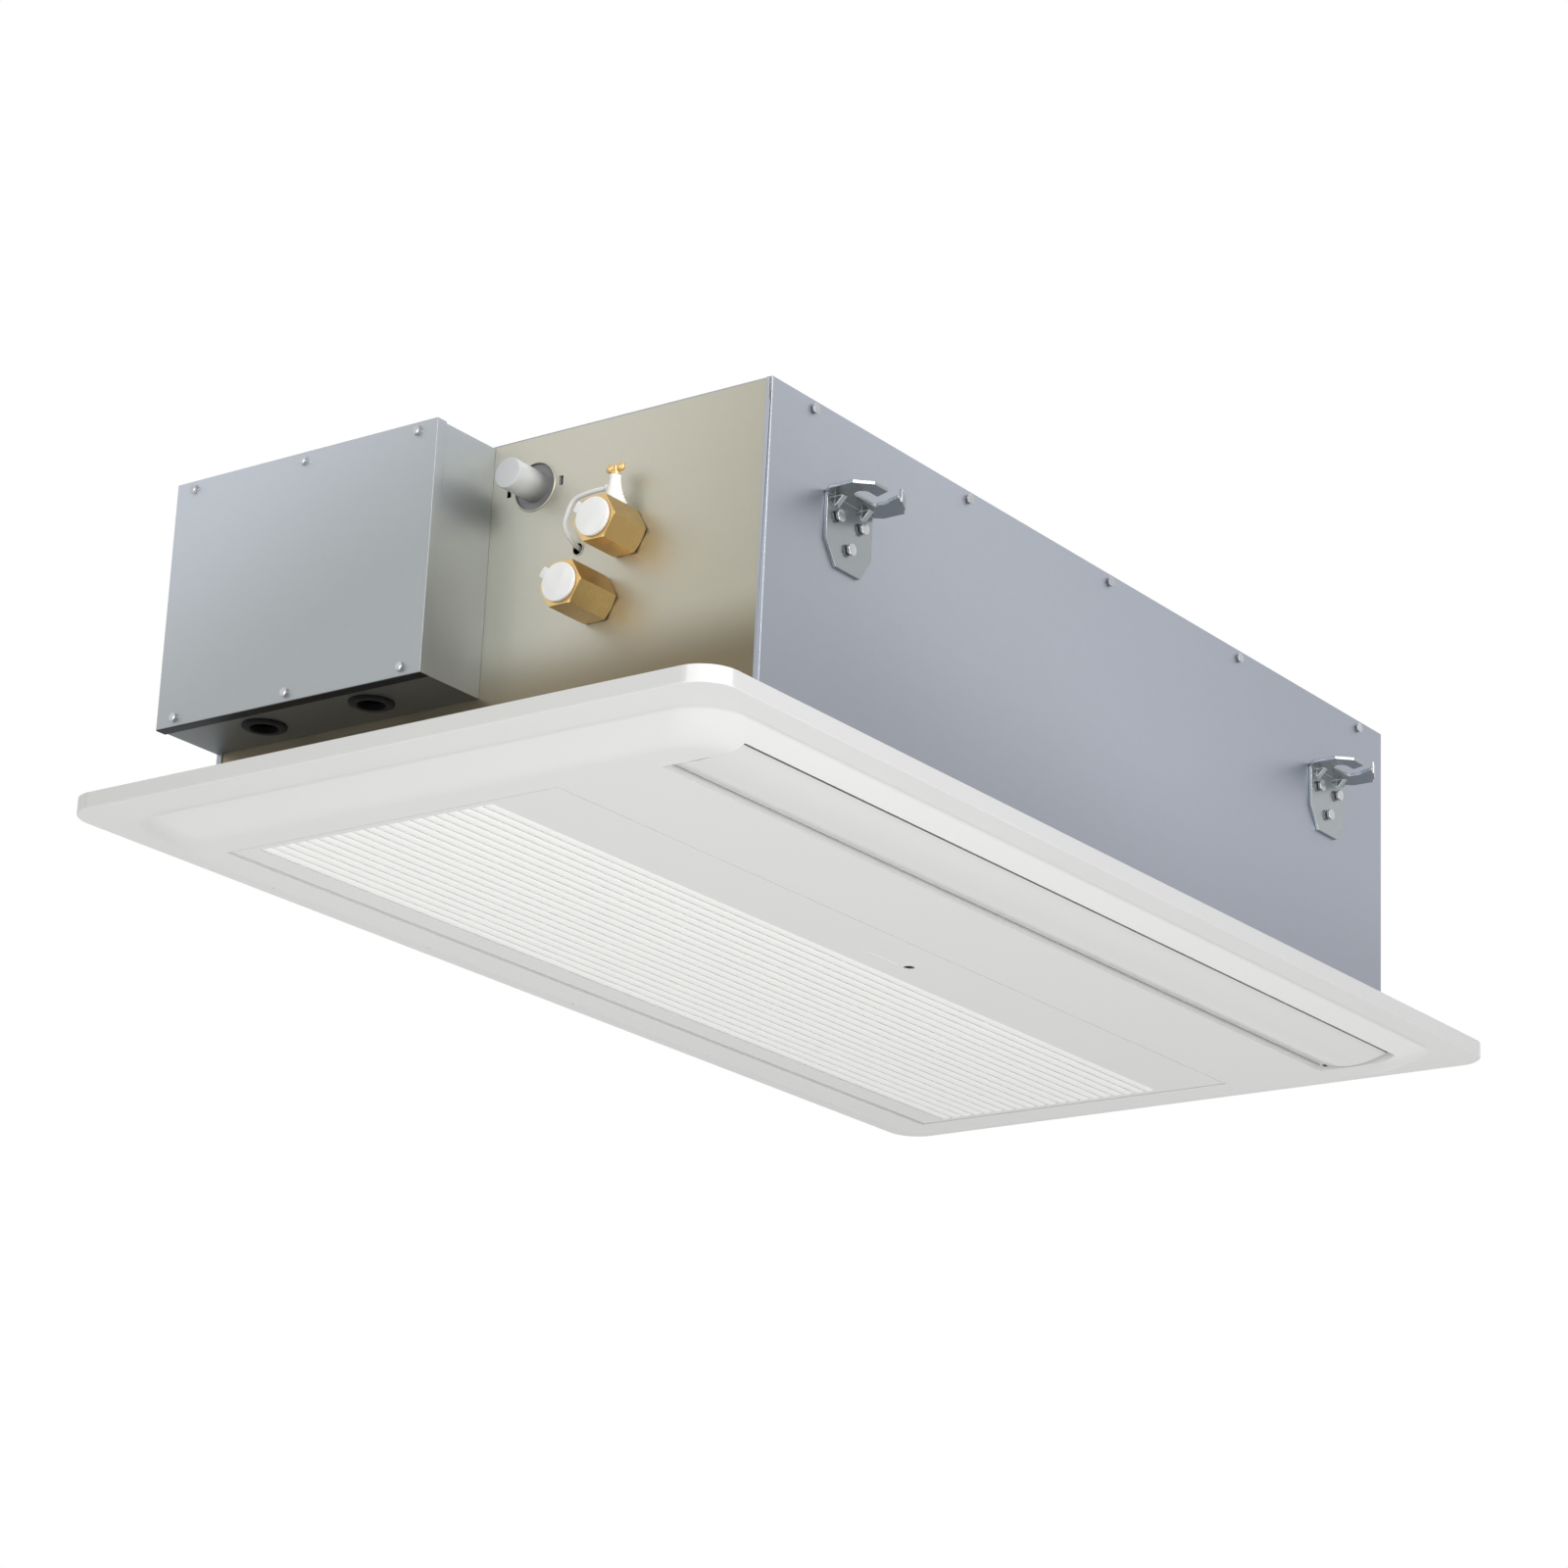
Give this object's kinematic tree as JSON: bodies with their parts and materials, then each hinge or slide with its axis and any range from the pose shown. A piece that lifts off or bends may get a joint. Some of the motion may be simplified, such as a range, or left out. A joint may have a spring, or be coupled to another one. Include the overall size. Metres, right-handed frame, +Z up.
{
  "type": "fan coil unit",
  "caption": "One-way ceiling cassette fan coil unit: steel casing with hangers, control box and water couplings over a white fascia with hinged intake grille and outlet flap.",
  "frame": {"origin": "centre of the fascia's lowest plane, under the middle of the unit", "axes": "+X along the unit, away from the pipe connections; -Y towards the air outlet; +Z up"},
  "size_m": [1.2, 0.66, 0.312],
  "materials": {
    "casing_steel": "galvanised sheet, faint spangle, satin",
    "end_steel": "galvanised sheet, faint spangle, satin",
    "box_steel": "galvanised sheet, satin",
    "bracket_steel": "zinc-plated steel, satin",
    "screw_steel": "bright zinc plate",
    "fascia_white": "moulded, fine satin grain",
    "grille_white": "moulded, satin",
    "filter_cloth": "woven filter cloth",
    "lens_black": "smoked lens",
    "brass": "turned brass",
    "cap_white": "soft white plastic",
    "vent_white": "white sealing tape over the stem",
    "tube_clear": "milky soft tube",
    "spigot_grey": "grey plastic",
    "black_rubber": "black rubber",
    "foam": "closed-cell foam",
    "copper": "copper tube",
    "fin_aluminium": "thin fins",
    "pan_plastic": "moulded",
    "fan_plastic": "moulded",
    "scroll_steel": "galvanised sheet",
    "motor_metal": "die-cast",
    "board_green": "solder mask",
    "terminal_white": "moulded"
  },
  "bodies": {
    "root": {"casing_top_panel": "casing_steel", "casing_side_front": "casing_steel", "casing_side_rear": "casing_steel", "casing_base_plate": "casing_steel", "partition_plate": "casing_steel", "end_panel_connection": "end_steel", "end_panel_blind": "end_steel", "control_box_body": "box_steel", "control_box_cover": "box_steel", "hanger_bracket_1": "bracket_steel", "hanger_bracket_2": "bracket_steel", "hanger_bracket_3": "bracket_steel", "hanger_bracket_4": "bracket_steel", "motor_bracket": "bracket_steel", "coil_end_plates": "bracket_steel", "casing_screws": "screw_steel", "bracket_screws": "screw_steel", "control_box_screws": "screw_steel", "fascia_screws": "screw_steel", "door_hinge_pins": "screw_steel", "fascia_frame": "fascia_white", "door_catches": "grille_white", "flap_bushes": "grille_white", "coupling_upper": "brass", "coupling_lower": "brass", "air_vent_body": "vent_white", "vent_tube": "tube_clear", "discharge_spigot": "spigot_grey", "cable_grommets": "black_rubber", "pump_hose": "black_rubber", "fascia_seal": "foam", "duct_insulation": "foam", "coil_return_bends": "copper", "coil_headers": "copper", "coil_fin_pack": "fin_aluminium", "drain_pan": "pan_plastic", "condensate_pump": "pan_plastic", "scroll_housing_left": "scroll_steel", "scroll_housing_right": "scroll_steel", "fan_motor": "motor_metal", "flap_motor": "motor_metal", "control_board": "board_green", "terminal_block": "terminal_white", "motor_capacitor": "terminal_white"},
    "intake_door": {"intake_door": "fascia_white", "intake_grille": "grille_white", "filter_frame": "grille_white", "filter_mesh": "filter_cloth", "sensor_lens": "lens_black"},
    "air_flap": {"air_flap": "fascia_white"},
    "fan_rotor": {"fan_shaft": "screw_steel", "fan_wheel_left": "fan_plastic", "fan_wheel_right": "fan_plastic"},
    "vent_screw": {"air_vent_screw": "brass"},
    "upper_cap": {"cap_upper": "cap_white"},
    "lower_cap": {"cap_lower": "cap_white"}
  },
  "joints": [
    {"name": "door_hinge", "type": "hinge", "parent": "root", "child": "intake_door", "pos_m": [0, 0.2355, 0.0048], "axis": [1, 0, 0], "range_deg": [0, 90]},
    {"name": "flap_tilt", "type": "hinge", "parent": "root", "child": "air_flap", "pos_m": [0, -0.212, 0.008], "axis": [1, 0, 0], "range_deg": [0, 60]},
    {"name": "fan_spin", "type": "hinge", "parent": "root", "child": "fan_rotor", "pos_m": [0, 0.125, 0.178], "axis": [1, 0, 0], "continuous": true},
    {"name": "vent_turn", "type": "hinge", "parent": "root", "child": "vent_screw", "pos_m": [-0.497, -0.143, 0.255], "axis": [0, 0, 1], "range_deg": [0, 180]},
    {"name": "upper_cap_pull", "type": "slide", "parent": "root", "child": "upper_cap", "axis": [-1, 0, 0], "range_m": [0, 0.04]},
    {"name": "lower_cap_pull", "type": "slide", "parent": "root", "child": "lower_cap", "axis": [-1, 0, 0], "range_m": [0, 0.04]}
  ]
}
